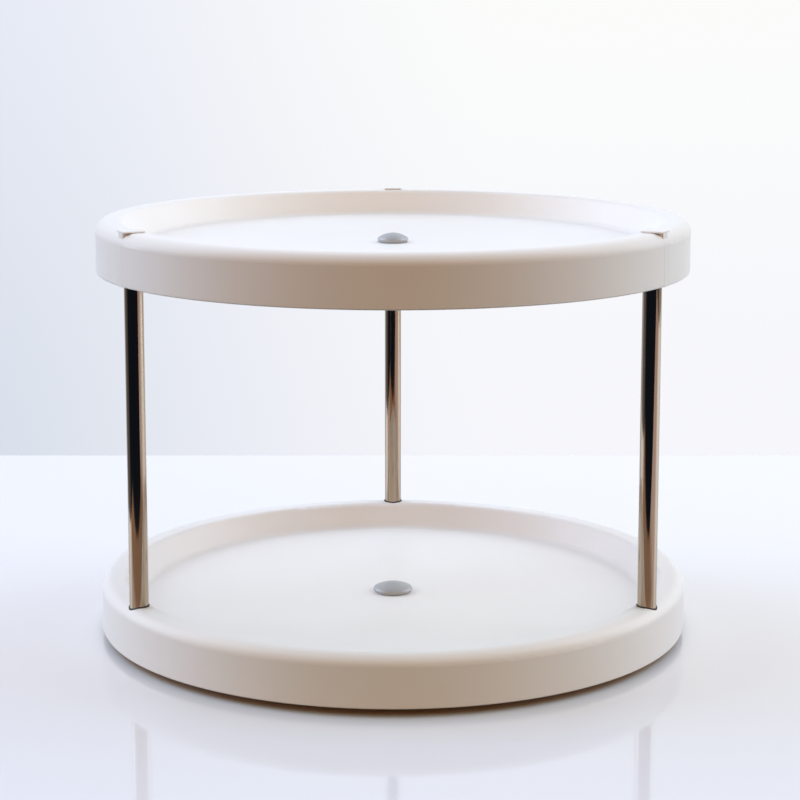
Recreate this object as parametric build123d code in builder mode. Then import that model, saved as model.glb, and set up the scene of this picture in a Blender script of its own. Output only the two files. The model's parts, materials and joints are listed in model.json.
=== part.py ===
# Two-tier lazy susan: two moulded trays on three posts, turning on a ring of balls over a flat base.
# Millimetres, +Z up, origin on the table under the middle of the base, one post at the back (+Y).
import math
import os

from build123d import *

os.makedirs("parts", exist_ok=True)

# Trays
tray_radius = 152.4
tier_pitch = 186.0  # bottom edge of the lower tray to bottom edge of the upper one
ground_gap = 4.0  # table to the lower tray's bottom edge
dish_depth = 13.4  # rim top down to the tray's floor
rim_width = 13.4  # outer face to the inner edge of the rim's top
rim_lean = 6.6  # how far the inner wall leans in on its way down
wall = 2.4
floor_thickness = 2.6
shoulder_radius = 6.0
lip_radius = 3.0
cove_radius = 4.0
edge_radius = 0.8
rib_count = 12
rib_thickness = 1.8
rib_depth = 3.0

# Base and ball race
foot_height = 3.2
foot_radius = 7.0
foot_recess = 1.0
foot_inset = 12.0  # base edge to a foot's axis
foot_count = 6
foot_edge = 0.4
base_thickness = 2.6
base_margin = 16.0  # race circle to the base's edge
base_rib_thickness = 2.4
base_rib_height = 1.6
race_radius = 92.0
race_width = 10.0
race_floor = 0.5  # groove bottom above the base's top face
race_gap = 0.1  # ball to groove
race_roof = 2.5  # plastic between the upper groove and the tray's floor
ball_diameter = 5.0
ball_count = 20
pocket_gap = 0.25
cage_thickness = 1.4
cage_gap = 0.6  # cage to either race

# Centre pivot and caps
pivot_diameter = 9.0
bush_wall = 1.25
bush_flange = 0.8
bush_sleeve = 3.6
pivot_play = 0.1
pivot_washer_thickness = 1.0
pivot_screw_diameter = 5.0
pivot_screw_grip = 7.5
pivot_head_diameter = 9.2
pivot_head_height = 2.2
hub_recess = 4.0
hub_wall = 3.0
lower_cap_diameter = 20.5
upper_cap_diameter = 16.0
cap_height = 4.8
cap_roll = 1.4  # radius of the rolled edge that rests on the floor
cap_nose = 0.5  # rounding where the dome meets the rolled edge
cap_wall = 1.0
cap_seat = 1.85  # width of floor under the cap's edge
cap_skirt = 2.6
turning_gap = 0.4

# Posts and their fasteners
post_count = 3
first_post = 90.0
post_inset = 7.3  # tray's outer face to a post's axis
tube_diameter = 9.5
tube_wall = 0.8
insert_length = 14.0
grommet_wall = 0.4
grommet_depth = 6.0
grommet_stand = 0.5
fit_gap = 0.05
boss_wall = 2.2
lower_socket = 14.0  # rim top to the tube's lower end
lower_boss_floor = 3.0
upper_socket = 10.0  # upper tray's bottom edge to the tube's upper end
upper_boss_floor = 4.0
upper_boss_rise = 1.0
screw_diameter = 4.0
screw_length = 12.0
screw_head_diameter = 7.0
screw_head_height = 4.0
screw_clearance = 0.2
hex_size = 3.0
hex_depth = 2.0
washer_thickness = 0.8
washer_margin = 0.5

# Cover clips over the upper screws
clip_width = 9.4
clip_stem = 5.0
clip_plate = 0.8
clip_lift = 0.2  # rim top to the underside of the plate
clip_setback = 1.0  # tray's outer face to the plate's edge
clip_overlap = 1.0
clip_peg_gap = 2.0
clip_edge = 0.35
tongue_thickness = 1.6
tongue_gap = 0.1

# Levels that follow from the stack of foot, base, ball and floor
ball_radius = ball_diameter / 2
groove_radius = ball_radius + race_gap
base_top = foot_height + base_thickness
ball_level = base_top + race_floor + groove_radius
lower_land = ball_level - cage_thickness / 2 - cage_gap
upper_land = ball_level + cage_thickness / 2 + cage_gap
lower_floor = ball_level + groove_radius + race_roof + floor_thickness
floor_height = lower_floor - ground_gap
tray_height = floor_height + dish_depth
lower_bottom = ground_gap
upper_bottom = ground_gap + tier_pitch
lower_crest = lower_bottom + tray_height
upper_crest = upper_bottom + tray_height
upper_floor = upper_bottom + floor_height

# Radii that follow
base_radius = race_radius + base_margin
race_inner = race_radius - race_width / 2
race_outer = race_radius + race_width / 2
base_rib_length = race_inner + base_rib_thickness / 2  # runs from the pivot into the race's foot
foot_circle = base_radius - foot_inset
post_circle = tray_radius - post_inset
tube_radius = tube_diameter / 2
tube_bore = tube_radius - tube_wall
lower_socket_radius = tube_radius + grommet_wall + 2 * fit_gap
upper_socket_radius = tube_radius + fit_gap
boss_radius = lower_socket_radius + boss_wall
screw_radius = screw_diameter / 2
screw_hole = screw_radius + screw_clearance
screw_head_radius = screw_head_diameter / 2
counterbore = screw_head_radius + screw_clearance
washer_radius = screw_head_radius + washer_margin
pivot_radius = pivot_diameter / 2
bush_bore = pivot_radius + fit_gap
bush_radius = bush_bore + bush_wall
lower_recess = lower_cap_diameter / 2 - cap_seat
upper_recess = upper_cap_diameter / 2 - cap_seat
pivot_screw_radius = pivot_screw_diameter / 2
pivot_washer_radius = lower_recess - fit_gap - cap_wall - turning_gap

# The inner wall leans, so its level thickness is a little more than the wall itself
lean = rim_lean / dish_depth
level_wall = wall * math.hypot(1, lean)
lip_edge = tray_radius - rim_width
floor_edge = lip_edge - rim_lean
hollow_lip = floor_edge + lean * (dish_depth - wall) + level_wall
hollow_foot = floor_edge - lean * floor_thickness + level_wall

# Fastener levels
socket_floor = lower_crest - lower_socket
lower_boss_face = socket_floor - lower_boss_floor
tube_top = upper_bottom + upper_socket
upper_screw_seat = tube_top + upper_boss_floor
upper_head_top = upper_screw_seat + screw_head_height
recess_floor = lower_floor - hub_recess
hub_face = recess_floor - bush_sleeve
pivot_top = recess_floor + bush_flange + pivot_play
clip_under = upper_crest + clip_lift
clip_top = clip_under + clip_plate

post_azimuths = [first_post + 360 / post_count * step for step in range(post_count)]
foot_azimuths = [360 / foot_count * (step + 0.5) for step in range(foot_count)]


def tray_section(bottom):
    """Half section of a tray's outside: wall, round shoulder, lip, leaning inner wall, cove and floor."""
    crest = bottom + tray_height
    floor = bottom + floor_height
    with BuildSketch(Plane.XZ) as section:
        with BuildLine():
            Polyline(
                (0, bottom),
                (tray_radius, bottom),
                (tray_radius, crest),
                (lip_edge, crest),
                (floor_edge, floor),
                (0, floor),
                close=True,
            )
        make_face()
        fillet(section.vertices().sort_by_distance((tray_radius, crest))[0], shoulder_radius)
        fillet(section.vertices().sort_by_distance((lip_edge, crest))[0], lip_radius)
        fillet(section.vertices().sort_by_distance((floor_edge, floor))[0], cove_radius)
        fillet(section.vertices().sort_by_distance((tray_radius, bottom))[0], edge_radius)
    return section.sketch


def hollow_section(bottom):
    """Half section of the space under a tray, one wall inside its outer section."""
    ceiling = bottom + tray_height - wall
    underside = bottom + floor_height - floor_thickness
    with BuildSketch(Plane.XZ) as section:
        with BuildLine():
            Polyline(
                (0, bottom),
                (tray_radius - wall, bottom),
                (tray_radius - wall, ceiling),
                (hollow_lip, ceiling),
                (hollow_foot, underside),
                (0, underside),
                close=True,
            )
        make_face()
        fillet(section.vertices().sort_by_distance((tray_radius - wall, ceiling))[0], shoulder_radius - wall)
        fillet(section.vertices().sort_by_distance((hollow_foot, underside))[0], cove_radius + wall)
    return section.sketch


def ring_section(radius, level):
    """The round section of a ball groove, ready to be turned about the pivot."""
    with BuildSketch(Plane.XZ) as section:
        with Locations((radius, level)):
            Circle(groove_radius)
    return section.sketch


def cap_section(radius, recess, floor):
    """Half section of a thin domed cap: rolled edge on the floor, skirt down into its recess."""
    edge_level = floor + cap_roll
    dome_top = floor + cap_height
    skirt = recess - fit_gap
    inside = skirt - cap_wall
    rise = dome_top - edge_level
    dome_radius = (radius**2 + rise**2) / (2 * rise)
    roof_radius = dome_radius - cap_wall
    roof_foot = dome_top - dome_radius + math.sqrt(roof_radius**2 - inside**2)
    with BuildSketch(Plane.XZ) as section:
        with BuildLine():
            Line((0, dome_top - cap_wall), (0, dome_top))
            RadiusArc((0, dome_top), (radius, edge_level), dome_radius)
            RadiusArc((radius, edge_level), (radius - cap_roll, floor), cap_roll)
            Polyline(
                (radius - cap_roll, floor),
                (skirt, floor),
                (skirt, floor - cap_skirt),
                (inside, floor - cap_skirt),
                (inside, roof_foot),
            )
            RadiusArc((inside, roof_foot), (0, dome_top - cap_wall), -roof_radius)
        make_face()
        fillet(section.vertices().sort_by_distance((radius, edge_level))[0], cap_nose)
    return section.sketch


# Base: a flat disc with a raised race, six ribs and the pivot stub
with BuildPart() as base_plate:
    with BuildSketch(Plane.XZ):
        with BuildLine():
            Polyline(
                (0, foot_height),
                (base_radius, foot_height),
                (base_radius, base_top),
                (race_outer, base_top),
                (race_outer, lower_land),
                (race_inner, lower_land),
                (race_inner, base_top),
                (pivot_radius, base_top),
                (pivot_radius, pivot_top),
                (0, pivot_top),
                close=True,
            )
        make_face()
    revolve(axis=Axis.Z)
    with BuildSketch(Plane.XY.offset(base_top)):
        with PolarLocations(base_rib_length / 2, foot_count):
            Rectangle(base_rib_length, base_rib_thickness)
    extrude(amount=base_rib_height)
    revolve(ring_section(race_radius, ball_level), axis=Axis.Z, mode=Mode.SUBTRACT)
    with BuildSketch(Plane.XY.offset(foot_height)):
        with PolarLocations(foot_circle, foot_count, start_angle=foot_azimuths[0]):
            Circle(foot_radius + fit_gap)
    extrude(amount=foot_recess, mode=Mode.SUBTRACT)
    with BuildSketch(Plane.XY.offset(pivot_top)):
        Circle(pivot_screw_radius + fit_gap)
    extrude(amount=-pivot_screw_grip, mode=Mode.SUBTRACT)
base_plate.part.label = "base_plate"
export_step(base_plate.part, "parts/base_plate.step")

# Rubber feet, pressed into shallow recesses under the base
for number, azimuth in enumerate(foot_azimuths, start=1):
    with BuildPart() as rubber_foot:
        with BuildSketch(Plane.XY.rotated((0, 0, azimuth))):
            with Locations((foot_circle, 0)):
                Circle(foot_radius)
        extrude(amount=foot_height + foot_recess)
        fillet(rubber_foot.edges().group_by(Axis.Z)[0], foot_edge)
    rubber_foot.part.label = f"rubber_foot_{number}"
    export_step(rubber_foot.part, f"parts/rubber_foot_{number}.step")

# Ball cage: a flat ring with one pocket for each ball
with BuildPart() as ball_cage:
    with BuildSketch(Plane.XY.offset(ball_level - cage_thickness / 2)):
        Circle(race_outer)
        Circle(race_inner, mode=Mode.SUBTRACT)
        with PolarLocations(race_radius, ball_count):
            Circle(ball_radius + pocket_gap, mode=Mode.SUBTRACT)
    extrude(amount=cage_thickness)
ball_cage.part.label = "ball_cage"
export_step(ball_cage.part, "parts/ball_cage.step")

with BuildPart(Plane.XY.offset(ball_level)) as bearing_balls:
    with PolarLocations(race_radius, ball_count):
        Sphere(ball_radius)
bearing_balls.part.label = "bearing_balls"
export_step(bearing_balls.part, "parts/bearing_balls.step")

# Space under the lower tray, less the bosses, race, hub and ribs that are left standing in it
with BuildPart() as lower_hollow:
    revolve(hollow_section(lower_bottom), axis=Axis.Z)
    with BuildSketch(Plane.XY.offset(lower_boss_face)):
        with PolarLocations(post_circle, post_count, start_angle=first_post):
            Circle(boss_radius)
    extrude(amount=lower_crest - lower_boss_face, mode=Mode.SUBTRACT)
    with BuildSketch(Plane.XY.offset(upper_land)):
        Circle(race_outer)
        Circle(race_inner, mode=Mode.SUBTRACT)
    extrude(amount=lower_floor - upper_land, mode=Mode.SUBTRACT)
    with BuildSketch(Plane.XY.offset(hub_face)):
        Circle(lower_recess + hub_wall)
    extrude(amount=lower_floor - hub_face, mode=Mode.SUBTRACT)
    with BuildSketch(Plane.XY.offset(lower_floor - floor_thickness - rib_depth)):
        with PolarLocations((lower_recess + hollow_foot) / 2, rib_count):
            Rectangle(hollow_foot - lower_recess, rib_thickness)
    extrude(amount=rib_depth + floor_thickness, mode=Mode.SUBTRACT)

with BuildPart() as lower_tray:
    revolve(tray_section(lower_bottom), axis=Axis.Z)
    add(lower_hollow.part, mode=Mode.SUBTRACT)
    revolve(ring_section(race_radius, ball_level), axis=Axis.Z, mode=Mode.SUBTRACT)
    with BuildSketch(Plane.XY.offset(socket_floor)):
        with PolarLocations(post_circle, post_count, start_angle=first_post):
            Circle(lower_socket_radius)
    extrude(amount=lower_socket, mode=Mode.SUBTRACT)
    with BuildSketch(Plane.XY.offset(lower_boss_face)):
        with PolarLocations(post_circle, post_count, start_angle=first_post):
            Circle(screw_hole)
    extrude(amount=lower_boss_floor, mode=Mode.SUBTRACT)
    with BuildSketch(Plane.XY.offset(lower_boss_face)):
        with PolarLocations(post_circle, post_count, start_angle=first_post):
            Circle(washer_radius + screw_clearance)
    extrude(amount=lower_bottom - lower_boss_face, mode=Mode.SUBTRACT)
    with BuildSketch(Plane.XY.offset(recess_floor)):
        Circle(lower_recess)
    extrude(amount=hub_recess, mode=Mode.SUBTRACT)
    with BuildSketch(Plane.XY.offset(hub_face)):
        Circle(bush_radius + fit_gap)
    extrude(amount=bush_sleeve, mode=Mode.SUBTRACT)
lower_tray.part.label = "lower_tray"
export_step(lower_tray.part, "parts/lower_tray.step")

# Flanged bush in the tray's hub, with the washer and screw that keep the tray on the pivot
with BuildPart() as pivot_bush:
    with BuildSketch(Plane.XY.offset(hub_face)):
        Circle(bush_radius)
    extrude(amount=bush_sleeve)
    with BuildSketch(Plane.XY.offset(recess_floor)):
        Circle(pivot_washer_radius)
    extrude(amount=bush_flange)
    with BuildSketch(Plane.XY.offset(hub_face)):
        Circle(bush_bore)
    extrude(amount=bush_sleeve + bush_flange, mode=Mode.SUBTRACT)
pivot_bush.part.label = "pivot_bush"
export_step(pivot_bush.part, "parts/pivot_bush.step")

with BuildPart() as pivot_washer:
    with BuildSketch(Plane.XY.offset(pivot_top)):
        Circle(pivot_washer_radius)
        Circle(pivot_screw_radius + screw_clearance, mode=Mode.SUBTRACT)
    extrude(amount=pivot_washer_thickness)
pivot_washer.part.label = "pivot_washer"
export_step(pivot_washer.part, "parts/pivot_washer.step")

pivot_screw_seat = pivot_top + pivot_washer_thickness
with BuildPart() as pivot_screw:
    with BuildSketch(Plane.XY.offset(pivot_screw_seat)):
        Circle(pivot_screw_radius)
    extrude(amount=-pivot_screw_grip)
    with BuildSketch(Plane.XY.offset(pivot_screw_seat)):
        Circle(pivot_head_diameter / 2)
    extrude(amount=pivot_head_height)
    with BuildSketch(Plane.XY.offset(pivot_screw_seat + pivot_head_height)):
        RegularPolygon(hex_size / 2, 6, major_radius=False)
    extrude(amount=-pivot_head_height / 2, mode=Mode.SUBTRACT)
pivot_screw.part.label = "pivot_screw"
export_step(pivot_screw.part, "parts/pivot_screw.step")

# Thin domed caps over the two hubs
with BuildPart() as lower_centre_cap:
    revolve(cap_section(lower_cap_diameter / 2, lower_recess, lower_floor), axis=Axis.Z)
lower_centre_cap.part.label = "lower_centre_cap"
export_step(lower_centre_cap.part, "parts/lower_centre_cap.step")

with BuildPart() as upper_centre_cap:
    revolve(cap_section(upper_cap_diameter / 2, upper_recess, upper_floor), axis=Axis.Z)
upper_centre_cap.part.label = "upper_centre_cap"
export_step(upper_centre_cap.part, "parts/upper_centre_cap.step")

# Space under the upper tray, less its bosses, hub and ribs
with BuildPart() as upper_hollow:
    revolve(hollow_section(upper_bottom), axis=Axis.Z)
    with BuildSketch(Plane.XY.offset(upper_bottom + upper_boss_rise)):
        with PolarLocations(post_circle, post_count, start_angle=first_post):
            Circle(boss_radius)
    extrude(amount=tray_height, mode=Mode.SUBTRACT)
    with BuildSketch(Plane.XY.offset(upper_floor - hub_recess - floor_thickness)):
        Circle(upper_recess + hub_wall)
    extrude(amount=hub_recess + floor_thickness, mode=Mode.SUBTRACT)
    with BuildSketch(Plane.XY.offset(upper_floor - floor_thickness - rib_depth)):
        with PolarLocations((upper_recess + hollow_foot) / 2, rib_count):
            Rectangle(hollow_foot - upper_recess, rib_thickness)
    extrude(amount=rib_depth + floor_thickness, mode=Mode.SUBTRACT)

with BuildPart() as upper_tray:
    revolve(tray_section(upper_bottom), axis=Axis.Z)
    add(upper_hollow.part, mode=Mode.SUBTRACT)
    with BuildSketch(Plane.XY.offset(upper_bottom)):
        with PolarLocations(post_circle, post_count, start_angle=first_post):
            Circle(upper_socket_radius)
    extrude(amount=upper_socket, mode=Mode.SUBTRACT)
    with BuildSketch(Plane.XY.offset(tube_top)):
        with PolarLocations(post_circle, post_count, start_angle=first_post):
            Circle(screw_hole)
    extrude(amount=upper_boss_floor, mode=Mode.SUBTRACT)
    with BuildSketch(Plane.XY.offset(upper_screw_seat)):
        with PolarLocations(post_circle, post_count, start_angle=first_post):
            Circle(counterbore)
    extrude(amount=upper_crest - upper_screw_seat, mode=Mode.SUBTRACT)
    with BuildSketch(Plane.XY.offset(upper_bottom)):
        with PolarLocations(tray_radius, post_count, start_angle=first_post):
            Rectangle(2 * (tongue_thickness + fit_gap), clip_stem + 2 * tongue_gap)
    extrude(amount=tray_height, mode=Mode.SUBTRACT)
    with BuildSketch(Plane.XY.offset(upper_floor - hub_recess)):
        Circle(upper_recess)
    extrude(amount=hub_recess, mode=Mode.SUBTRACT)
upper_tray.part.label = "upper_tray"
export_step(upper_tray.part, "parts/upper_tray.step")

# Posts: a tube, a threaded plug in each end, and a rubber sleeve in the lower socket
for number, azimuth in enumerate(post_azimuths, start=1):
    spoke = Plane.XY.rotated((0, 0, azimuth))

    with BuildPart() as post_tube:
        with BuildSketch(spoke.offset(socket_floor)):
            with Locations((post_circle, 0)):
                Circle(tube_radius)
                Circle(tube_bore, mode=Mode.SUBTRACT)
        extrude(amount=tube_top - socket_floor)
    post_tube.part.label = f"post_tube_{number}"
    export_step(post_tube.part, f"parts/post_tube_{number}.step")

    with BuildPart() as lower_insert:
        with BuildSketch(spoke.offset(socket_floor)):
            with Locations((post_circle, 0)):
                Circle(tube_bore - fit_gap)
                Circle(screw_radius + fit_gap, mode=Mode.SUBTRACT)
        extrude(amount=insert_length)
    lower_insert.part.label = f"lower_insert_{number}"
    export_step(lower_insert.part, f"parts/lower_insert_{number}.step")

    with BuildPart() as upper_insert:
        with BuildSketch(spoke.offset(tube_top)):
            with Locations((post_circle, 0)):
                Circle(tube_bore - fit_gap)
                Circle(screw_radius + fit_gap, mode=Mode.SUBTRACT)
        extrude(amount=-insert_length)
    upper_insert.part.label = f"upper_insert_{number}"
    export_step(upper_insert.part, f"parts/upper_insert_{number}.step")

    # The sleeve's top follows the rim, one step above it
    with BuildPart() as post_grommet:
        revolve(tray_section(lower_bottom + grommet_stand), axis=Axis.Z)
        with BuildSketch(spoke.offset(lower_crest - grommet_depth)):
            with Locations((post_circle, 0)):
                Circle(lower_socket_radius - fit_gap)
                Circle(tube_radius + fit_gap, mode=Mode.SUBTRACT)
        extrude(amount=grommet_depth + grommet_stand, mode=Mode.INTERSECT)
    post_grommet.part.label = f"post_grommet_{number}"
    export_step(post_grommet.part, f"parts/post_grommet_{number}.step")

    # Cover clip: plate over the round shoulder, peg in the counterbore, tongue flush with the wall
    upright = Plane(origin=(0, 0, 0), x_dir=spoke.x_dir, z_dir=-spoke.y_dir)
    with BuildPart() as cover_clip:
        with BuildSketch(upright):
            with Locations((post_circle, clip_under)):
                Rectangle(2 * post_inset, shoulder_radius + clip_lift, align=(Align.MIN, Align.MAX))
            with Locations((tray_radius - shoulder_radius, upper_crest - shoulder_radius)):
                shoulder_clear = shoulder_radius + fit_gap
                Circle(shoulder_clear, mode=Mode.SUBTRACT)
                Rectangle(post_inset, shoulder_clear, align=(Align.MAX, Align.MIN), mode=Mode.SUBTRACT)
        extrude(amount=clip_stem / 2, both=True)
        with BuildSketch(spoke.offset(clip_under)):
            with Locations((post_circle - counterbore - clip_overlap, 0)):
                Rectangle(
                    counterbore + clip_overlap + post_inset,
                    clip_width,
                    align=(Align.MIN, Align.CENTER),
                )
        extrude(amount=clip_plate)
        with BuildSketch(spoke.offset(upper_head_top + clip_peg_gap)):
            with Locations((post_circle, 0)):
                Circle(counterbore - fit_gap)
        extrude(amount=clip_under - upper_head_top - clip_peg_gap)
        with BuildSketch(spoke.offset(upper_bottom)):
            with Locations((tray_radius - tongue_thickness, 0)):
                Rectangle(2 * tongue_thickness, clip_stem, align=(Align.MIN, Align.CENTER))
        extrude(amount=clip_under - upper_bottom)
        with BuildSketch(Plane.XZ) as envelope:
            with Locations((0, upper_bottom)):
                Rectangle(tray_radius, tray_height, align=(Align.MIN, Align.MIN))
            fillet(envelope.vertices().sort_by_distance((tray_radius, upper_crest))[0], shoulder_radius)
            with Locations((0, upper_bottom)):
                Rectangle(tray_radius - clip_setback, clip_top - upper_bottom, align=(Align.MIN, Align.MIN))
        revolve(axis=Axis.Z, mode=Mode.INTERSECT)
        fillet(cover_clip.edges().group_by(Axis.Z)[-1], clip_edge)
    cover_clip.part.label = f"cover_clip_{number}"
    export_step(cover_clip.part, f"parts/cover_clip_{number}.step")

# Screws and washers that hold the posts, each kind as one group of separate solids
with BuildPart() as lower_post_washers:
    with BuildSketch(Plane.XY.offset(lower_boss_face)):
        with PolarLocations(post_circle, post_count, start_angle=first_post):
            Circle(washer_radius)
            Circle(screw_hole, mode=Mode.SUBTRACT)
    extrude(amount=-washer_thickness)
lower_post_washers.part.label = "lower_post_washers"
export_step(lower_post_washers.part, "parts/lower_post_washers.step")

lower_screw_seat = lower_boss_face - washer_thickness
with BuildPart() as lower_post_screws:
    with BuildSketch(Plane.XY.offset(lower_screw_seat)):
        with PolarLocations(post_circle, post_count, start_angle=first_post):
            Circle(screw_radius)
    extrude(amount=screw_length)
    with BuildSketch(Plane.XY.offset(lower_screw_seat)):
        with PolarLocations(post_circle, post_count, start_angle=first_post):
            Circle(screw_head_radius)
    extrude(amount=-screw_head_height)
    with BuildSketch(Plane.XY.offset(lower_screw_seat - screw_head_height)):
        with PolarLocations(post_circle, post_count, start_angle=first_post):
            RegularPolygon(hex_size / 2, 6, major_radius=False)
    extrude(amount=hex_depth, mode=Mode.SUBTRACT)
lower_post_screws.part.label = "lower_post_screws"
export_step(lower_post_screws.part, "parts/lower_post_screws.step")

with BuildPart() as upper_post_screws:
    with BuildSketch(Plane.XY.offset(upper_screw_seat)):
        with PolarLocations(post_circle, post_count, start_angle=first_post):
            Circle(screw_radius)
    extrude(amount=-screw_length)
    with BuildSketch(Plane.XY.offset(upper_screw_seat)):
        with PolarLocations(post_circle, post_count, start_angle=first_post):
            Circle(screw_head_radius)
    extrude(amount=screw_head_height)
    with BuildSketch(Plane.XY.offset(upper_head_top)):
        with PolarLocations(post_circle, post_count, start_angle=first_post):
            RegularPolygon(hex_size / 2, 6, major_radius=False)
    extrude(amount=-hex_depth, mode=Mode.SUBTRACT)
upper_post_screws.part.label = "upper_post_screws"
export_step(upper_post_screws.part, "parts/upper_post_screws.step")
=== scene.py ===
# %% [markdown]
# # A two-tier lazy susan, dressed for its picture
# The construction comes as finished solids: two moulded trays, three posts, a base and a ring of balls.
# This lesson gives every piece its finish, works out the turned pieces that need a finer surface than a
# solid has, and lights the whole on a pale table. All lengths are in metres and all pieces share one frame:
# +Z is up, -Y is the front, and the trays turn about the Z axis.

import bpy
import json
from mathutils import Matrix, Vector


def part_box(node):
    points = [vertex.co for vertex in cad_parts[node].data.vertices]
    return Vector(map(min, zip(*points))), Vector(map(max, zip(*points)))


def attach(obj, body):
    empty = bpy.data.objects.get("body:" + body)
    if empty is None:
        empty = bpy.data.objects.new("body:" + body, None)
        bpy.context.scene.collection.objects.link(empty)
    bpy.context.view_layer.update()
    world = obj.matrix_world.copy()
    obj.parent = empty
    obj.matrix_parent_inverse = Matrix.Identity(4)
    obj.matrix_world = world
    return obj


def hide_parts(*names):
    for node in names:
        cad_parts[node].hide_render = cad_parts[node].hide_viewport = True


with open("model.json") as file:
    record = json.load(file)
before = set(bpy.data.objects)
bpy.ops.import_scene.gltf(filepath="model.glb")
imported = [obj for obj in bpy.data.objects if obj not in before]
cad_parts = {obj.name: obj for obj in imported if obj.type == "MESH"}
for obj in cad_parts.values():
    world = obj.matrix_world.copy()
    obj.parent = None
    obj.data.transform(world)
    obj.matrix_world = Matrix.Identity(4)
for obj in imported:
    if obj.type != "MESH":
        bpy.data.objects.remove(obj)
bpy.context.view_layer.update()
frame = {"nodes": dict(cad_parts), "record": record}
nodes = frame["nodes"]
record = frame["record"]

# %% Libraries and units
import json
import math
from typing import NamedTuple

import bpy
import numpy as np

MM = 0.001
POSTS = (1, 2, 3)
FEET = (1, 2, 3, 4, 5, 6)
print(f"{len(POSTS)} posts and {len(FEET)} feet; one millimetre is {MM} m")

# %% [markdown]
# ## Shader sums written as sums
# A finish is a small calculation: some noise, a mask, a colour between two others. Wired by hand that is a
# dozen lines for each sum, so one class wraps a socket and lets Python's own operators add the Math nodes,
# and one method makes every other node from its type, its settings and what goes into it.

# %% A socket that can be added, multiplied and smoothed


class Wire:
    """One output of a node tree. Sums on wires become Math nodes in the same tree."""

    def __init__(self, recipe, socket):
        self.recipe = recipe
        self.socket = socket

    def math(self, operation, *terms):
        return self.recipe.node("ShaderNodeMath", {"operation": operation}, dict(enumerate(terms)))

    def __add__(self, other):
        return self.math("ADD", self, other)

    def __radd__(self, other):
        return self.math("ADD", other, self)

    def __sub__(self, other):
        return self.math("SUBTRACT", self, other)

    def __rsub__(self, other):
        return self.math("SUBTRACT", other, self)

    def __mul__(self, other):
        return self.math("MULTIPLY", self, other)

    def __rmul__(self, other):
        return self.math("MULTIPLY", other, self)

    def __truediv__(self, other):
        return self.math("DIVIDE", self, other)

    def __rtruediv__(self, other):
        return self.math("DIVIDE", other, self)

    def __pow__(self, other):
        return self.math("POWER", self, other)

    def smooth(self, low, high):
        """0 below low, 1 above high, and a smooth S between them. With high under low it falls instead."""
        settings = {"interpolation_type": "SMOOTHSTEP"}
        inputs = {"Value": self, "From Min": low, "From Max": high}
        return self.recipe.node("ShaderNodeMapRange", settings, inputs)


print(f"{Wire.__name__}: sums on sockets, such as 1.0 - mask")

# %% A node tree that is filled step by step


class Recipe:
    """A node tree, with one method that makes any node and a few short names for the common ones."""

    def __init__(self, tree):
        self.tree = tree
        self.tree.nodes.clear()

    def node(self, kind, settings=None, inputs=None, output=0):
        """Makes a node: its settings first, then a value or a link for each named or numbered input."""
        made = self.tree.nodes.new(kind)
        for name, value in (settings or {}).items():
            if name == "stops":
                set_stops(made.color_ramp, value)
            else:
                setattr(made, name, value)
        for name, value in (inputs or {}).items():
            if isinstance(value, Wire):
                self.tree.links.new(value.socket, made.inputs[name])
            else:
                made.inputs[name].default_value = value
        return Wire(self, made.outputs[output]) if made.outputs else made

    def place(self):
        """The point on the piece, in metres, in the frame that all pieces share."""
        return self.node("ShaderNodeTexCoord", output="Object")

    def toward(self):
        """The direction of a ray that leaves for the room."""
        return self.node("ShaderNodeTexCoord", output="Generated")

    def split(self, vector):
        """The three numbers of a vector, all from one node."""
        first = self.node("ShaderNodeSeparateXYZ", None, {0: vector})
        return [Wire(self, socket) for socket in first.socket.node.outputs]

    def from_axis(self):
        """How far the point is from the axis that the trays turn about."""
        across, along, up = self.split(self.place())
        return (across * across + along * along) ** 0.5

    def stretched(self, vector, scale):
        """The same place measured with another ruler along each axis, so that a noise is drawn out."""
        return self.node("ShaderNodeVectorMath", {"operation": "MULTIPLY"}, {0: vector, 1: scale})

    def noise(self, vector, scale, detail=3.0):
        """Noise over a place, with so many bumps to the metre."""
        return self.node("ShaderNodeTexNoise", None, {"Vector": vector, "Scale": scale, "Detail": detail})

    def lines(self, along, detail=1.0):
        """Noise along one number, which makes lines across it."""
        return self.node("ShaderNodeTexNoise", {"noise_dimensions": "1D"}, {"W": along, "Detail": detail})

    def blend(self, share, first, second):
        """A colour that goes from the first to the second as share goes from 0 to 1."""
        inputs = {"Factor": share, "A": rgba(first), "B": rgba(second)}
        return self.node("ShaderNodeMix", {"data_type": "RGBA"}, inputs, "Result")

    def bump(self, height, distance, strength):
        """A tilted surface normal, from a height that is so many metres at 1."""
        inputs = {"Height": height, "Distance": distance, "Strength": strength}
        return self.node("ShaderNodeBump", None, inputs)

    def rays(self, *kinds):
        """1 for rays of the named kinds, such as Camera or Glossy."""
        return sum(self.node("ShaderNodeLightPath", output=f"Is {kind} Ray") for kind in kinds)


def rgba(colour):
    """A plain colour with its alpha; a wire passes through."""
    return colour if isinstance(colour, Wire) else (*colour, 1.0)


def set_stops(ramp, stops):
    """Fills a colour ramp from a list of places and colours."""
    for spare in list(ramp.elements)[2:]:
        ramp.elements.remove(spare)
    while len(ramp.elements) < len(stops):
        ramp.elements.new(0.5)
    for element, (where, colour) in zip(ramp.elements, stops):
        element.position = where
        element.color = rgba(colour)


print(f"short names of a recipe: {', '.join(name for name in vars(Recipe) if name[0] != '_')}")

# %% [markdown]
# ## From a recipe to a finish
# Every finish on this stand ends in one surface shader, so a finish is a function that returns what goes
# into that shader. The solids keep their meshes: their material slots are switched to belong to the object,
# and the finish goes in there.

# %% Make a finish, and put it on nodes


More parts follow.
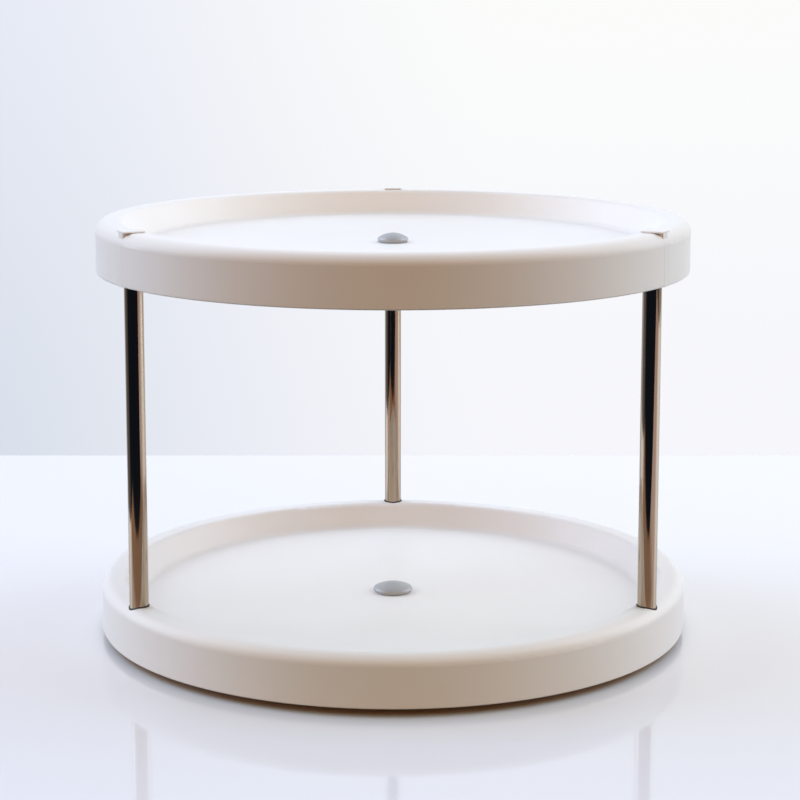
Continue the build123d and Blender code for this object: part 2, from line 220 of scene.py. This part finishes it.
def finish(name, draw):
    """A material: draw(recipe) returns the inputs of its surface shader, plain numbers and wires alike."""
    material = bpy.data.materials.new(name)
    material.use_nodes = True
    recipe = Recipe(material.node_tree)
    surface = recipe.node("ShaderNodeBsdfPrincipled", None, draw(recipe))
    recipe.node("ShaderNodeOutputMaterial", None, {"Surface": surface})
    print(f"{name}: {len(material.node_tree.nodes)} nodes in its tree")
    return material


def paint(material, names):
    """Gives a material to carried-over nodes by filling the slots of their objects."""
    for name in names:
        for slot in nodes[name].material_slots:
            slot.link = "OBJECT"
            slot.material = material
    print(f"{material.name}: on {len(names)} nodes")


print(f"{sum(len(node.material_slots) for node in nodes.values())} material slots to fill")

# %% [markdown]
# ## White moulded plastic
# Both trays and the small cover clips are satin white plastic. A real moulding is never one flat white:
# the tool leaves a fine sparked grain, the melt leaves faint broad clouds, handling polishes the surface
# unevenly, and jars that slide as the tray turns rub faint arcs into its floor. Painted maps could show
# that, but noise at several sizes does it without any seams. Here and below, a pair of numbers such as
# CLOUDY says where a noise starts to count and where it counts in full, and a pair of colours lists the
# colour without it and the colour with it.

# %% The trays' finish
GRAIN = 2600.0
CLOUDS = 9.0
HANDLING = 42.0
SCUFF_LINES = 900.0
SCUFF_PATCHES = 26.0
FLOOR_RADIUS = 0.120
TRAY_WHITES = ((0.865, 0.850, 0.825), (0.895, 0.882, 0.862))
CLOUDY = (0.3, 0.7)
WIPED = (0.35, 0.75)


def moulded_white(recipe):
    """Colour from broad clouds, gloss from handling and rubbed arcs, and a bump from the sparked grain."""
    place = recipe.place()
    radius = recipe.from_axis()
    clouds = recipe.noise(place, CLOUDS, detail=2.0).smooth(*CLOUDY)
    handling = recipe.noise(place, HANDLING, detail=4.0).smooth(*WIPED)
    grain = recipe.noise(place, GRAIN, detail=1.0)
    arcs = recipe.lines(radius * SCUFF_LINES).smooth(0.58, 0.68)
    patches = recipe.noise(place, SCUFF_PATCHES).smooth(0.52, 0.66)
    scuffs = arcs * patches * radius.smooth(FLOOR_RADIUS, 0.9 * FLOOR_RADIUS)
    return {
        "Base Color": recipe.blend(clouds, *TRAY_WHITES),
        "Roughness": 0.40 + handling * 0.10 - scuffs * 0.09,
        "Specular IOR Level": 0.42,
        "Normal": recipe.bump(grain, 0.04 * MM, 0.35),
    }


white_pieces = ["lower_tray", "upper_tray"] + [f"cover_clip_{n}" for n in POSTS]
paint(finish("moulded_white", moulded_white), white_pieces)

# %% [markdown]
# ## Polished posts
# The posts are thin plated steel tube, polished along their length until they mirror the room. Their metal
# colour is made dark and warm as a painted reflection of the dim, warm front of the room. A perfect mirror
# looks like a drawing of one, so fine lines drawn out along the tube tilt the surface a little, and a haze
# that wiping leaves makes the gloss uneven. The lines are a noise stretched along the tube, and the haze is a
# plain one.

# %% The posts' finish
LINES_ACROSS = 1500.0
LINES_ALONG = 9.0
WIPED_HAZE = 55.0
# Painted reflection: these dark, warm metal tones stand in for the dim, warm room that the tube mirrors.
MIRRORED_ROOM_TONES = ((0.37, 0.285, 0.205), (0.43, 0.34, 0.25))


def polished_tube(recipe):
    """Mirror metal with faint lines along the tube, which vary the colour and gloss and tilt the surface."""
    place = recipe.place()
    drawn = recipe.noise(recipe.stretched(place, (LINES_ACROSS, LINES_ACROSS, LINES_ALONG)), 1.0, detail=2.0)
    haze = recipe.noise(place, WIPED_HAZE).smooth(*WIPED)
    return {
        "Base Color": recipe.blend(drawn.smooth(*CLOUDY), *MIRRORED_ROOM_TONES),
        "Metallic": 1.0,
        "Roughness": 0.055 + haze * 0.03 + drawn * 0.02,
        "Normal": recipe.bump(drawn, 0.01 * MM, 0.2),
    }


paint(finish("polished_tube", polished_tube), [f"post_tube_{n}" for n in POSTS])

# %% [markdown]
# ## Soft rubber
# The rings at the posts' feet and the pads under the base are black rubber. Rubber is dull but not even: a
# pale bloom creeps out of it in patches, and the mould's grain breaks up what little shine is left. The same
# noise that makes the bloom paler also makes it rougher, as on the real thing.

# %% The rubber's finish
BLOOM = 160.0
RUBBER_GRAIN = 3500.0
RUBBER_BLACKS = ((0.028, 0.024, 0.022), (0.060, 0.053, 0.048))


def soft_rubber(recipe):
    """Near black and matt, with a dusty bloom in patches and a fine grain."""
    place = recipe.place()
    bloom = recipe.noise(place, BLOOM, detail=4.0).smooth(0.45, 0.8)
    grain = recipe.noise(place, RUBBER_GRAIN, detail=1.0)
    return {
        "Base Color": recipe.blend(bloom, *RUBBER_BLACKS),
        "Roughness": 0.62 + bloom * 0.18,
        "Normal": recipe.bump(grain, 0.05 * MM, 0.4),
    }


rubber = finish("soft_rubber", soft_rubber)
paint(rubber, [f"post_grommet_{n}" for n in POSTS])

# %% [markdown]
# ## The base
# The base stands in the shade under the lower tray. Such a plate is moulded in a dark tough plastic with a
# leathery grain that hides scratches, so its bump is coarser and stronger than the trays'.

# %% The base's finish
BASE_CLOUDS = 14.0
LEATHER = 1400.0
BASE_BROWNS = ((0.085, 0.066, 0.055), (0.115, 0.092, 0.078))


def base_moulding(recipe):
    """Dark brown-grey plastic with a coarse leathery grain."""
    place = recipe.place()
    clouds = recipe.noise(place, BASE_CLOUDS).smooth(*CLOUDY)
    grain = recipe.noise(place, LEATHER, detail=2.0)
    return {
        "Base Color": recipe.blend(clouds, *BASE_BROWNS),
        "Roughness": 0.48 + grain * 0.16,
        "Normal": recipe.bump(grain, 0.08 * MM, 0.5),
    }


paint(finish("base_moulding", base_moulding), ["base_plate"])

# %% [markdown]
# ## Natural nylon
# The ball cage and the pivot's bush are bearing pieces of nylon without any dye. It is creamy and lets a
# little light in, which a small share of subsurface scattering shows at thin edges.

# %% The nylon's finish
NYLON_CLOUDS = 60.0
NYLON_GRAIN = 1900.0
NYLON_CREAMS = ((0.74, 0.70, 0.61), (0.80, 0.77, 0.70))


def natural_nylon(recipe):
    """Creamy, slightly see-through plastic with soft clouds and a faint grain."""
    place = recipe.place()
    clouds = recipe.noise(place, NYLON_CLOUDS).smooth(*CLOUDY)
    return {
        "Base Color": recipe.blend(clouds, *NYLON_CREAMS),
        "Roughness": 0.38 + clouds * 0.12,
        "Subsurface Weight": 0.15,
        "Subsurface Scale": 2.0 * MM,
        "Normal": recipe.bump(recipe.noise(place, NYLON_GRAIN, detail=1.0), 0.03 * MM, 0.3),
    }


paint(finish("natural_nylon", natural_nylon), ["ball_cage", "pivot_bush"])

# %% [markdown]
# ## Zinc plate, ground steel and brass
# The fasteners are steel with a thin zinc plate, whose clear bath leaves faint yellow and blue patches: a
# ramp of three colours over one noise. The balls are hard steel, ground until only a haze is left. The
# plugs in the tubes are brass, turned on a lathe, so their lines run round them at each height.

# %% The fasteners' finish
PLATE_PATCHES = 210.0
PLATE_TINTS = [(0.3, (0.56, 0.57, 0.60)), (0.5, (0.64, 0.63, 0.60)), (0.7, (0.66, 0.61, 0.52))]


def zinc_plate(recipe):
    """Bright plated steel, with the faint yellow and blue patches of its passivation."""
    patches = recipe.noise(recipe.place(), PLATE_PATCHES)
    return {
        "Base Color": recipe.node("ShaderNodeValToRGB", {"stops": PLATE_TINTS}, {"Fac": patches}),
        "Metallic": 1.0,
        "Roughness": 0.26 + patches * 0.16,
    }


zinc = finish("zinc_plate", zinc_plate)
paint(zinc, ["pivot_washer", "lower_post_washers"])

# %% The balls' and the plugs' finish
GRINDING = 700.0
TURNING_LINES = 5000.0
TARNISH = 180.0
STEEL_GREYS = ((0.60, 0.60, 0.61), (0.70, 0.70, 0.72))
BRASS_FRESH_TO_OLD = ((0.72, 0.54, 0.25), (0.50, 0.36, 0.17))


def ground_steel(recipe):
    """Hard bright steel with the faint haze of fine grinding."""
    haze = recipe.noise(recipe.place(), GRINDING)
    return {
        "Base Color": recipe.blend(haze, *STEEL_GREYS),
        "Metallic": 1.0,
        "Roughness": 0.10 + haze * 0.08,
    }


def turned_brass(recipe):
    """Brass with turning lines at each height and a little tarnish."""
    place = recipe.place()
    across, along, up = recipe.split(place)
    rings = recipe.lines(up * TURNING_LINES)
    tarnish = recipe.noise(place, TARNISH, detail=4.0).smooth(0.4, 0.8)
    return {
        "Base Color": recipe.blend(tarnish, *BRASS_FRESH_TO_OLD),
        "Metallic": 1.0,
        "Roughness": 0.22 + tarnish * 0.18 + rings * 0.08,
        "Normal": recipe.bump(rings, 0.03 * MM, 0.5),
    }


paint(finish("ground_steel", ground_steel), ["bearing_balls"])
plugs = [f"{end}_insert_{n}" for end in ("lower", "upper") for n in POSTS]
paint(finish("turned_brass", turned_brass), plugs)

# %% [markdown]
# ## Turned shapes
# Caps, feet and screws are all round about an axis: on the real stand they are spun, moulded or turned.
# A spin tool could make them, but a thread isn't quite round, because its radius changes as it winds. So the
# shape is a grid of points, one row for each step along the section and one column for each step round the
# axis, and every point may have its own radius. Whole arrays are worked out at once.

# %% A section carried round an axis


def turned(radius, height, axis=(0.0, 0.0)):
    """A closed surface round an upright axis, as points, four-sided faces and the fans that close its ends.

    radius and height are grids with a row for each step along the section and a column for each step round
    the axis. Point (i, j) lies radius[i, j] from the axis in the direction of angle j, at height[i, j].
    The section starts at the top of the axis and ends on it again, so all faces point outwards.
    """
    rows, columns = radius.shape
    angle = turn_angles(columns)
    grid = np.stack([axis[0] + radius * np.cos(angle), axis[1] + radius * np.sin(angle), height], axis=-1)
    ends = grid[[0, -1]].mean(axis=1)
    points = np.concatenate([ends, grid[1:-1].reshape(-1, 3)])
    here = len(ends) + np.arange((rows - 2) * columns).reshape(rows - 2, columns)
    after = np.roll(here, -1, axis=1)
    sides = np.stack([here[:-1], here[1:], after[1:], after[:-1]], axis=-1).reshape(-1, 4)
    first = np.stack([np.zeros(columns, int), here[0], after[0]], axis=-1)
    last = np.stack([np.ones(columns, int), after[-1], here[-1]], axis=-1)
    return points, sides, np.concatenate([first, last])


def turn_angles(columns):
    """The angle of each column, in even steps over one turn."""
    return np.arange(columns) * (2.0 * np.pi / columns)


def round_grid(section, columns):
    """The radius and height grids of a plain round piece: each column repeats the section."""
    radius, height = np.transpose(section)
    return np.repeat(radius[:, None], columns, axis=1), np.repeat(height[:, None], columns, axis=1)


def joined(shells):
    """Several closed surfaces as one: points one after another, and faces that count on from there."""
    starts = np.cumsum([0] + [len(points) for points, sides, fans in shells])
    return (
        np.concatenate([points for points, sides, fans in shells]),
        np.concatenate([sides + start for (points, sides, fans), start in zip(shells, starts)]),
        np.concatenate([fans + start for (points, sides, fans), start in zip(shells, starts)]),
    )


six_sided = turned(*round_grid([(0.0, 1.0), (1.0, 1.0), (1.0, 0.0), (0.0, 0.0)], 6))
print("a six-sided disc: points, sides and end faces", [len(part) for part in six_sided])

# %% A surface becomes a piece that stands for a node
body_of = {node: body for body, names in record["behaviour"]["bodies"].items() for node in names}
SHARP = math.radians(38.0)


def add_piece(name, shell, material, node):
    """Puts a surface into a mesh with a finish; the piece replaces a node and rides on that node's body."""
    points, sides, fans = shell
    mesh = bpy.data.meshes.new(name)
    mesh.from_pydata(points.tolist(), [], sides.tolist() + fans.tolist())
    mesh.shade_smooth()
    mesh.set_sharp_from_angle(angle=SHARP)
    mesh.materials.append(material)
    piece = bpy.data.objects.new(name, mesh)
    bpy.context.scene.collection.objects.link(piece)
    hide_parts(node)
    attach(piece, body_of[node])
    print(f"{name}: {len(points)} points for {node} on {body_of[node]}")


def middle(node):
    """The axis of an upright piece, from the corners of its box."""
    low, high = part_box(node)
    return (low.x + high.x) / 2, (low.y + high.y) / 2


# %% [markdown]
# ## Spun grey metal
# A plain grey metal cap sits in the middle of each tray. It is spun from thin sheet over a form, and the
# roller leaves fine rings and a satin surface that scatters more than it mirrors. The rings are real
# geometry below; the finish only makes colour and gloss a little uneven along them.

# %% The caps' finish
SPUN_LINES = 3800.0
SPUN_GREYS = ((0.40, 0.41, 0.425), (0.49, 0.50, 0.515))


def spun_metal(recipe):
    """Satin grey metal whose colour and gloss change a little from ring to ring."""
    rings = recipe.lines(recipe.from_axis() * SPUN_LINES)
    return {
        "Base Color": recipe.blend(rings, *SPUN_GREYS),
        "Metallic": 0.35,
        "Roughness": 0.40 + rings * 0.12,
    }


spun_grey = finish("spun_metal", spun_metal)

# %% [markdown]
# ## Centre caps
# Each cap is a shallow dome with a rolled edge that rests on the tray, and a skirt that grips the hub below.
# Dome and edge are two arcs in section. For them to meet without a corner, the small arc has to lie inside
# the large one and touch it, and that gives the dome's radius from the cap's width and height alone.

# %% The caps' shape
CAP_ROLL = 1.4 * MM
CAP_WALL = 1.0 * MM
CAP_SKIRT = 2.6 * MM
CAP_SEAT = 1.9 * MM
RING_PITCH = 0.4 * MM
RING_DEPTH = 0.015 * MM
DOME_STEPS = 230
ROLL_STEPS = 14
ROOF_STEPS = 24
CAP_COLUMNS = 128


def cap_section(radius, floor, top):
    """Half a cap's section, from the top of the dome round the rolled edge to the inside of its roof.

    With a the edge's middle from the axis and b its middle below the top, both less the edge's own radius r,
    the dome's radius is (a^2 + b^2 - r^2) / (2 (b - r)). The rings lower the dome by half a cosine wave.
    """
    a = radius - CAP_ROLL
    b = top - floor - CAP_ROLL
    dome = (a * a + b * b - CAP_ROLL * CAP_ROLL) / (2.0 * (b - CAP_ROLL))
    meet = math.asin(a / (dome - CAP_ROLL))
    lean = np.linspace(0.0, meet, DOME_STEPS)
    reach = dome * np.sin(lean)
    rings = RING_DEPTH * (0.5 - 0.5 * np.cos(2.0 * np.pi * reach / RING_PITCH))
    dome_part = np.stack([reach, top - dome + dome * np.cos(lean) - rings], axis=-1)
    roll = np.linspace(np.pi / 2 - meet, -np.pi / 2, ROLL_STEPS)[1:]
    roll_part = np.stack([a + CAP_ROLL * np.cos(roll), floor + CAP_ROLL * (1.0 + np.sin(roll))], axis=-1)
    skirt = radius - CAP_SEAT
    inside = skirt - CAP_WALL
    hem = floor - CAP_SKIRT
    skirt_part = [(skirt, floor), (skirt, hem), (inside, hem)]
    roof = dome - CAP_WALL
    under = np.linspace(math.asin(inside / roof), 0.0, ROOF_STEPS)
    roof_part = np.stack([roof * np.sin(under), top - dome + roof * np.cos(under)], axis=-1)
    return np.concatenate([dome_part, roll_part, skirt_part, roof_part])


for tier in ("lower", "upper"):
    low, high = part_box(f"{tier}_centre_cap")
    section = cap_section((high.x - low.x) / 2, low.z + CAP_SKIRT, high.z)
    shell = turned(*round_grid(section, CAP_COLUMNS))
    add_piece(f"spun_cap_{tier}", shell, spun_grey, f"{tier}_centre_cap")

# %% [markdown]
# ## Feet
# Six rubber pads carry the base. A flat pad slides on a wet table, so such pads have ring-shaped ribs on
# their soles. The sole's height is a cosine of the distance from the middle: its crests stand on the table,
# and the edge and the middle are crests too.

# %% The feet's shape
FOOT_EDGE = 0.4 * MM
SOLE_RIBS = 3
SOLE_DEPTH = 0.45 * MM
EDGE_STEPS = 8
SOLE_STEPS = 72
FOOT_COLUMNS = 64


def foot_section(radius, low, high):
    """Half a foot's section: flat top, plain side, rounded edge, and a sole with ring-shaped ribs.

    The sole's height above the table is the ribs' depth times (1 - cos(2 pi n s)) / 2, where n is the
    number of ribs and s goes from 1 at the edge to 0 in the middle.
    """
    flat = radius - FOOT_EDGE
    turn = np.linspace(0.0, np.pi / 2, EDGE_STEPS)
    edge = np.stack([flat + FOOT_EDGE * np.cos(turn), low + FOOT_EDGE * (1.0 - np.sin(turn))], axis=-1)
    share = np.linspace(1.0, 0.0, SOLE_STEPS)[1:]
    sole_height = low + SOLE_DEPTH * (1.0 - np.cos(2.0 * np.pi * SOLE_RIBS * share)) / 2.0
    sole = np.stack([flat * share, sole_height], axis=-1)
    return np.concatenate([[(0.0, high), (radius, high)], edge, sole])


for number in FEET:
    node = f"rubber_foot_{number}"
    low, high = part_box(node)
    section = foot_section((high.x - low.x) / 2, low.z, high.z)
    shell = turned(*round_grid(section, FOOT_COLUMNS), middle(node))
    add_piece(f"ribbed_foot_{number}", shell, rubber, node)

# %% [markdown]
# ## Socket screws
# The posts are held by socket screws: a knurled head with a six-sided socket, and a thread. In the solids the
# threads are plain cylinders. Here the radius of the shank is a function of height and angle, and the socket
# is a row of points at the distance of a hexagon's sides, so one grid makes the whole screw.

# %% The screws' sizes


class ScrewSize(NamedTuple):
    """Sizes of a socket screw, in metres. The head's and the shank's lengths are measured from the seat."""

    radius: float
    length: float
    head_radius: float
    head_height: float
    socket: float
    socket_depth: float
    pitch: float


POST_SCREW = ScrewSize(2.0 * MM, 12.0 * MM, 3.5 * MM, 4.0 * MM, 3.0 * MM, 2.0 * MM, 0.7 * MM)
PIVOT_SCREW = ScrewSize(2.5 * MM, 7.5 * MM, 4.6 * MM, 2.2 * MM, 3.0 * MM, 1.1 * MM, 0.8 * MM)
print(f"threads: {POST_SCREW.length / POST_SCREW.pitch:.1f} turns on a post's screw, "
      f"{PIVOT_SCREW.length / PIVOT_SCREW.pitch:.1f} on the pivot's")

# %% The screws' shape
THREAD_DEPTH = 0.61
HEAD_EDGE = 0.3 * MM
KNURLS = 24
KNURL_DEPTH = 0.1 * MM
SCREW_COLUMNS = 72
STEPS_PER_TURN = 7


def socket_screw(size, seat, way, axis=(0.0, 0.0)):
    """A socket screw on an upright axis, with its head above the seat for way 1 and below it for way -1.

    The socket's radius at an angle is half its width divided by the cosine of the angle from the middle of
    the nearest side. The thread takes a triangle wave of height / pitch - angle / turn off the shank.
    """
    angle = turn_angles(SCREW_COLUMNS)
    sixth = np.pi / 3.0
    socket = size.socket / 2.0 / np.cos((angle + sixth / 2.0) % sixth - sixth / 2.0)
    knurl = size.head_radius - KNURL_DEPTH * (0.5 - 0.5 * np.cos(KNURLS * angle))
    even = np.ones(SCREW_COLUMNS)
    head_rows = [
        (0.0 * even, size.head_height - size.socket_depth),
        (socket, size.head_height - size.socket_depth),
        (socket, size.head_height),
        ((size.head_radius - HEAD_EDGE) * even, size.head_height),
        (knurl, size.head_height - HEAD_EDGE),
        (knurl, HEAD_EDGE),
        ((size.head_radius - HEAD_EDGE) * even, 0.0),
    ]
    steps = int(STEPS_PER_TURN * size.length / size.pitch)
    depth_below = np.linspace(0.0, size.length, steps)[:, None]
    phase = (seat - way * depth_below) / size.pitch - angle / (2.0 * np.pi)
    wave = np.abs(2.0 * (phase % 1.0) - 1.0)
    run_out = np.clip(depth_below / size.pitch, 0.0, 1.0)
    tip = np.clip((size.length - depth_below) / size.pitch, 0.0, 1.0)
    root = size.radius - THREAD_DEPTH * size.pitch
    shank = root + (size.radius - root) * (1.0 - wave * run_out) * tip
    radius = np.concatenate([np.stack([row for row, level in head_rows]), shank, 0.0 * even[None]])
    level = np.concatenate([[level for row, level in head_rows], -depth_below[:, 0], [-size.length]])
    height = np.repeat((seat + way * level)[:, None], SCREW_COLUMNS, axis=1)
    return turned(radius[::way], height[::way], axis)


for tier, way in (("lower", -1), ("upper", 1)):
    node = f"{tier}_post_screws"
    low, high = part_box(node)
    seat = low.z + POST_SCREW.head_height if way < 0 else high.z - POST_SCREW.head_height
    shells = [socket_screw(POST_SCREW, seat, way, middle(f"post_tube_{n}")) for n in POSTS]
    add_piece(f"threaded_{node}", joined(shells), zinc, node)

low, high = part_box("pivot_screw")
shell = socket_screw(PIVOT_SCREW, high.z - PIVOT_SCREW.head_height, 1)
add_piece("threaded_pivot_screw", shell, zinc, "pivot_screw")

# %% [markdown]
# ## The table
# The stand is shown on a glossy white table. Its colour is seen directly and in gloss, but a table that
# white would also fill the soft brown shade on the front of the trays. So the light that it throws back on
# dull surfaces comes from a duller table: a Mix Shader asks which kind of ray is looking.
# In the narrow gap under the lower tray the shade is brown, because warm light goes to and fro there. The
# duller table leaves that out, so the part of the top that the tray covers gets a warm tint in its place.
# The posts mirror the table too. The strip in front of the stand looks brown in them, since the dim front of
# the room lies on its gloss, so glossy rays are given that colour there. On the right the front edge runs
# forward, which gives each post a bright line down its right side.

# %% The table's finish
TABLE_HAZE = 6.0
# Painted shade: the open top goes from the first colour at the front to the paler second one at the back.
TABLE_WHITES = ((0.815, 0.80, 0.83), (0.895, 0.885, 0.89))
FRONT_SHADE_FADES = (-0.30, 0.0)
DULL_GREYS = ((0.095, 0.18, 0.175), (0.34, 0.35, 0.37))
DULL_LIFTS = (-0.22, -0.04)
# Where the painted warm shade under the tray starts, and its colour.
COVERED = (0.151, 0.146)
WARM_SHADE = (0.95, 0.66, 0.45)
STRIP_STARTS = (-0.13, -0.19)
STRIP_ENDS = (0.30, 0.18)
MIRRORED_ROOM_BROWN = (0.345, 0.29, 0.245)


def table_top(recipe):
    """Pale gloss with painted shade towards the front; the diffuse light that it throws back is duller."""
    place = recipe.place()
    across, along, up = recipe.split(place)
    haze = recipe.noise(place, TABLE_HAZE, detail=2.0)
    # Painted shade: the open top is a little darker towards the front.
    open_top = recipe.blend(along.smooth(*FRONT_SHADE_FADES), *TABLE_WHITES)
    # Painted warm shade on the part of the top that the tray covers.
    seen = recipe.blend(recipe.from_axis().smooth(*COVERED), open_top, WARM_SHADE)
    # Painted reflection: glossy rays see the strip in front of the stand brown, for the dim room on its
    # gloss.
    mirrored = recipe.rays("Glossy") * along.smooth(*STRIP_STARTS) * across.smooth(*STRIP_ENDS)
    pale = {
        "Base Color": recipe.blend(mirrored, seen, MIRRORED_ROOM_BROWN),
        "Roughness": 0.045 + haze * 0.03,
        "Specular IOR Level": 0.6,
    }
    dull = {"Base Color": recipe.blend(along.smooth(*DULL_LIFTS), *DULL_GREYS)}
    shaders = [recipe.node("ShaderNodeBsdfPrincipled", None, inputs) for inputs in (dull, pale)]
    direct = recipe.rays("Camera", "Glossy", "Transmission")
    return recipe.node("ShaderNodeMixShader", None, {0: direct, 1: shaders[0], 2: shaders[1]})


table_material = bpy.data.materials.new("table_top")
table_material.use_nodes = True
table_recipe = Recipe(table_material.node_tree)
table_recipe.node("ShaderNodeOutputMaterial", None, {"Surface": table_top(table_recipe)})
print(f"{table_material.name}: {len(table_material.node_tree.nodes)} nodes in its tree")

# %% The table's shape
TABLE_BACK = 0.403
TABLE_FRONT = -0.33
TABLE_NEAR = -1.1
TABLE_TURN = 0.16
TABLE_LEFT = -0.42
TABLE_RIGHT = 1.2
mesh = bpy.data.meshes.new("table_top")
corners = [
    (TABLE_LEFT, TABLE_FRONT, 0.0),
    (TABLE_TURN, TABLE_FRONT, 0.0),
    (TABLE_RIGHT, TABLE_NEAR, 0.0),
    (TABLE_RIGHT, TABLE_BACK, 0.0),
    (TABLE_LEFT, TABLE_BACK, 0.0),
]
mesh.from_pydata(corners, [], [tuple(range(len(corners)))])
mesh.materials.append(table_material)
table = bpy.data.objects.new("table_top", mesh)
bpy.context.scene.collection.objects.link(table)
print(f"table with {len(corners)} corners, from {TABLE_FRONT} to {TABLE_BACK} m at the stand")

# %% [markdown]
# ## The room
# The stand is lit by its room: cool windows to the left and right, light from high up at the back, and a
# warm dim side at the front, behind the camera. Lamps would need a dozen soft boxes for that. A world whose
# colour depends on direction says it in a few words: masks that add up to 1 share out the directions, and
# each part has one colour. The camera is shown a plain pale backdrop in place of the room, and so is gloss
# that looks to the back, so that no light has to be added for a white background.

# %% The parts of the room
ROOM = {
    "front low": (0.67, 0.2, 0.0),
    "front high": (0.80, 0.72, 0.52),
    "left": (2.65, 3.2, 4.0),
    "right": (2.6, 3.0, 3.4),
    "back low": (0.15, 0.15, 0.15),
    "back high": (1.5, 1.42, 1.56),
    "top": (0.25, 0.35, 0.55),
    "front floor": (0.01, 0.016, 0.03),
    "left floor": (0.2, 0.2, 0.22),
    "right floor": (0.5, 0.5, 0.5),
    "back floor": (0.7, 0.7, 0.7),
}
TO_THE_BACK = (0.35, 0.8)
TO_THE_FRONT = (0.1, -0.4)
LEFT_TO_RIGHT = (-0.2, 0.2)
FLOOR_TO_WALL = (-0.05, 0.0)
LOW_TO_HIGH = (0.15, 0.55)
WALL_TO_TOP = (0.7, 0.98)
NEVER_ZERO = 0.0001


def room_masks(recipe):
    """How much each part of the room counts in a direction; the masks add up to 1."""
    right, back, up = recipe.split(recipe.toward())
    level = (right * right + back * back + NEVER_ZERO) ** 0.5
    behind = (back / level).smooth(*TO_THE_BACK)
    ahead = (back / level).smooth(*TO_THE_FRONT)
    beside = 1.0 - behind - ahead
    on_right = beside * (right / level).smooth(*LEFT_TO_RIGHT)
    on_left = beside - on_right
    top = up.smooth(*WALL_TO_TOP)
    above = up.smooth(*FLOOR_TO_WALL)
    lifted = up.smooth(*LOW_TO_HIGH)
    walls = above - top
    masks = {
        "front low": ahead * (above - lifted),
        "front high": ahead * (lifted - top),
        "left": on_left * walls,
        "right": on_right * walls,
        "back low": behind * (above - lifted),
        "back high": behind * (lifted - top),
        "top": top,
    }
    for side, share in {"front": ahead, "left": on_left, "right": on_right, "back": behind}.items():
        masks[f"{side} floor"] = share * (1.0 - above)
    return masks


def lit(recipe, colours):
    """The sum of the parts of the room, each in its own colour."""
    total = (0.0, 0.0, 0.0)
    for name, mask in room_masks(recipe).items():
        part = recipe.node("ShaderNodeVectorMath", {"operation": "SCALE"}, {0: colours[name], "Scale": mask})
        total = recipe.node("ShaderNodeVectorMath", {"operation": "ADD"}, {0: total, 1: part})
    return total


print(f"{len(ROOM)} parts of the room")

# %% The backdrop
BACKDROP_LEFT = ((0.67, 0.72, 0.81), (0.79, 0.82, 0.93))
BACKDROP_RIGHT = ((0.92, 0.92, 0.97), (0.97, 0.98, 0.96))
BACKDROP_RISES = (-0.25, 0.05)
BACKDROP_TURNS = (-0.24, 0.06)
GLOSS_SEES_BACK = (0.3, 0.8)


def backdrop(recipe):
    """Pale, and a little greyer and bluer to the left and low down."""
    right, back, up = recipe.split(recipe.toward())
    rise = up.smooth(*BACKDROP_RISES)
    sides = [recipe.blend(rise, *colours) for colours in (BACKDROP_LEFT, BACKDROP_RIGHT)]
    return recipe.blend(right.smooth(*BACKDROP_TURNS), *sides)


def shown(recipe):
    """1 for rays that are shown the backdrop: the camera's, and those that gloss sends to the back."""
    right, back, up = recipe.split(recipe.toward())
    return recipe.rays("Camera") + recipe.rays("Glossy", "Transmission") * back.smooth(*GLOSS_SEES_BACK)


def room(recipe):
    """Light by direction, and a pale backdrop where it is looked at."""
    colour = recipe.blend(shown(recipe), lit(recipe, ROOM), backdrop(recipe))
    return recipe.node("ShaderNodeBackground", None, {"Color": colour, "Strength": 1.0})


world = bpy.data.worlds.new("room")
world.use_nodes = True
bpy.context.scene.world = world
world_recipe = Recipe(world.node_tree)
world_recipe.node("ShaderNodeOutputWorld", None, {"Surface": room(world_recipe)})
print(f"world: {len(world.node_tree.nodes)} nodes in its tree")

# %% [markdown]
# ## The camera
# The picture was taken from a little above the upper tray with a long lens, which keeps the two trays nearly
# the same width. The shift slides the frame, as on a view camera, so the stand sits where the picture has it
# without turning the camera down any further.

# %% The camera's place
VIEW_DISTANCE = 1.1104
VIEW_HEIGHT = 0.3372
VIEW_PITCH = 0.1475
VIEW_LENS = 97.38
SENSOR_WIDTH = 36.0
SHIFT_RIGHT = 0.0088
SHIFT_UP = -0.125

camera_data = bpy.data.cameras.new("camera")
camera_data.sensor_width = SENSOR_WIDTH
camera_data.lens = VIEW_LENS
camera_data.shift_x = SHIFT_RIGHT
camera_data.shift_y = SHIFT_UP
camera = bpy.data.objects.new("camera", camera_data)
camera.location = (0.0, -VIEW_DISTANCE, VIEW_HEIGHT)
camera.rotation_euler = (math.pi / 2 - VIEW_PITCH, 0.0, 0.0)
bpy.context.scene.collection.objects.link(camera)
bpy.context.scene.camera = camera
bpy.context.scene.view_settings.view_transform = "Standard"
print(f"camera {VIEW_DISTANCE} m in front, {VIEW_HEIGHT} m up")

# %% [markdown] Dressing must not change the stand's size.
